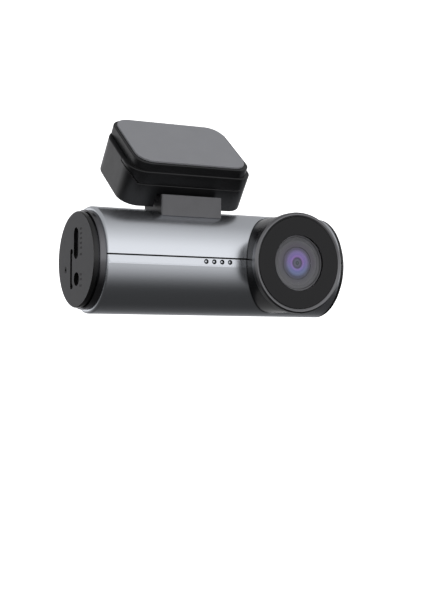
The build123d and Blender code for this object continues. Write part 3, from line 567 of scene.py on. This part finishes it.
def make_front_glass(materials):
    """Front glass: a clear window with a black printed surround."""
    front, back, bevel = WINDOW_FRONT_Y, WINDOW_BACK_Y, 0.15
    surround = [(front, WINDOW_CLEAR_R), (front, WINDOW_RIM_R - bevel), (front + bevel, WINDOW_RIM_R),
                (back, WINDOW_RIM_R), (back, WINDOW_CLEAR_R)]
    piece = lathe("front_glass_surround", surround, print_black("glass_print", 0.010),
                  LENS_X)
    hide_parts("front_glass")
    clear = [(front, 0), (front, WINDOW_CLEAR_R), (back, WINDOW_CLEAR_R), (back, 0)]
    lathe("front_glass_window", clear, materials["front_glass"], LENS_X)


def make_screen_glass():
    """Screen's cover glass: the dark lit area, which reads as solid, in a black printed border."""
    place = screen_place(0, SCREEN_BACK_Y, 0)
    outer, inner = rounded(-35.0, 38.6, -12.2, 12.2, 1.6), rounded(-29.6, 34.0, -9.7, 9.7, 0.2)
    border = framed_plate("screen_border", outer, inner, place, SCREEN_T,
                          print_black("screen_print", 0.018))
    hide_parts("screen_glass")
    window = Surface("screen_window", (0.036, 0.036, 0.039), 0.08).tint(0.01, 0.03).haze(0.01, 0.01)
    flat_shapes("screen_window", [inner], place, SCREEN_T, window.material)


def screen_place(x, y, z):
    """A drawing plane on the back of the camera."""
    return decal_frame(Vector((x, y, z)), Vector((-1, 0, 0)), Vector((0, 1, 0)))


def make_seam_shade_strip(materials):
    """Black strip at the bottom of the joint between the two silver shells: painted shade that darkens the
    seam gap.
    """
    place = decal_frame(Vector((0, SEAM_BOTTOM_Y, 0)), Vector((1, 0, 0)), Vector((0, -1, 0)))
    runs = [rounded(x0, x1, SEAM_Z0, SEAM_Z1, 0.15) for x0, x1 in ((-42.4, 5.3), (37.6, 42.6))]
    # Painted shade: a black strip laid in the seam gap.
    flat_shapes("seam_shade_strip", runs, place, 0.5, materials["tape_black"])


def make_lens(materials):
    """Shallow stack behind the window: a grey cell, a dish painted with the coatings' reflection colours,
    and a clear dome.
    """
    cell = [(-22.4, 9.3), (-22.38, 8.9), (-22.2, 8.3), (-22.15, 7.6), (-22.1, 7.45),
            (-21.5, 7.4), (-21.5, 8.2), (-22.0, 9.3)]
    lathe("lens_cell", cell, materials["lens_black"], LENS_X)
    ring = [(-21.95, 5.36), (-22.0, 5.28), (-21.98, 5.16), (-21.9, 5.1), (-21.7, 5.1), (-21.7, 5.36)]
    lathe("lens_retaining_ring", ring, materials["lens_grey"], LENS_X)
    # A dish whose colours are the coatings' reflection, painted on.
    coating = [(-22.05, 7.42), (-21.98, 6.4), (-21.9, 5.2), (-21.98, 4.2), (-22.04, 3.0),
               (-22.06, 2.1), (-22.0, 1.9), (-22.0, 1.0), (-22.04, 0.5), (-22.05, 0),
               (-21.6, 0), (-21.6, 7.42)]
    lathe("lens_painted_reflection", coating, painted_reflection_material(), LENS_X)
    dome = [(-22.02, 5.08), (-22.14, 4.4), (-22.28, 3.3), (-22.38, 2.0), (-22.42, 1.0), (-22.43, 0),
            (-22.12, 0), (-22.1, 3.0), (-22.0, 5.08)]
    piece = lathe("lens_dome", dome, materials["lens_glass"], LENS_X)
    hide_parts("front_lens")


def make_sound_studs(materials):
    """A cloth-backed cup with a small bright stud in each sound hole."""
    cloth = [(-15.75, 0), (-15.75, 0.76), (-15.6, 0.76), (-15.6, 0)]
    stud = [(-16.75, 0), (-16.74, 0.18), (-16.68, 0.32), (-16.55, 0.4), (-15.74, 0.4), (-15.74, 0)]
    for i in range(HOLE_COUNT):
        x = HOLE_X0 + i * HOLE_PITCH
        lathe(f"sound_cloth_{i}", cloth, materials["felt"], x, HOLE_Z, 24)
        lathe(f"sound_stud_{i}", stud, materials["silver"], x, HOLE_Z, 24)


def make_display():
    """Time, date and two plain symbols on the screen."""
    face_y = SCREEN_BACK_Y + SCREEN_T + 0.002
    white = light_material("display_white", (0.9, 0.92, 0.95), 0.95)
    soft = light_material("display_soft", (0.6, 0.62, 0.65), 0.6)
    text_piece("display_time", "10:24:36", 5.1, 0.09, screen_place(0.3, face_y, 2.6), white)
    text_piece("display_date", "2000-01-01", 3.3, 0.0, screen_place(0.3, face_y, 7.2), soft)
    drop = [arc(0, 1.1, 0.75, -20, 200, 14) + [(-0.35, 0.35), (0.35, 0.35)]]
    drop += ring_pieces(0, -0.75, 0.62, 0.14)
    flat_shapes("display_symbol_left", drop, screen_place(16.3, face_y, -6.0), RAISED, white)
    tray = stroke([(-1.5, 0.9), (1.5, 0.9), (1.5, -0.1), (-1.5, -0.1), (-1.5, 0.9)], 0.16)
    tray += stroke([(-0.55, -0.9), (0, -1.5), (0.55, -0.9)], 0.2)
    flat_shapes("display_symbol_right", tray, screen_place(-15.4, face_y, -5.6), RAISED, soft)


def make_port_marks():
    """Plain bars and a ring beside the openings, in place of lettering."""
    face = (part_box("port_cover")[0][0] - AXIS.x) / MM
    place = decal_frame(Vector((face + 0.005, 0, 0)), Vector((0, -1, 0)), Vector((-1, 0, 0)))
    beside_usb, beside_jack = (9.4, 7.9, 6.4, 4.9, 3.4, 1.4), (-4.9, -6.4, -8.4)
    marks = []
    for z in beside_usb + beside_jack:
        marks += stroke([(3.7, z), (4.9, z)], 0.7)
    marks += ring_pieces(-PIN_HOLE_Y, PIN_HOLE_Z, 1.1, 0.6, -150, 150)
    ink = plastic("mark_ink", (0.012, 0.012, 0.012), 0.6)
    flat_shapes("port_marks", marks, place, RAISED, ink)


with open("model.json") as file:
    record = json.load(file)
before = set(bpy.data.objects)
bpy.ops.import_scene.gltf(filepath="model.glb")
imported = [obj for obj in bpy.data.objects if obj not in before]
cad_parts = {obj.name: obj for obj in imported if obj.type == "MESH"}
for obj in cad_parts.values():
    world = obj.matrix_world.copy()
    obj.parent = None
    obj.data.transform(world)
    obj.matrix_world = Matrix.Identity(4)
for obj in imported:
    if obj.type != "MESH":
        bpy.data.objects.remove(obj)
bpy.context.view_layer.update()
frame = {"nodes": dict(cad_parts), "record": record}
bpy.context.scene.view_settings.view_transform = "Standard"
materials = slot_materials()
finish_cad(frame, materials)
make_lens(materials)
make_sound_studs(materials)
make_display()
make_port_marks()
make_front_glass(materials)
make_screen_glass()
make_seam_shade_strip(materials)
make_studio()
make_backdrop()
make_camera()
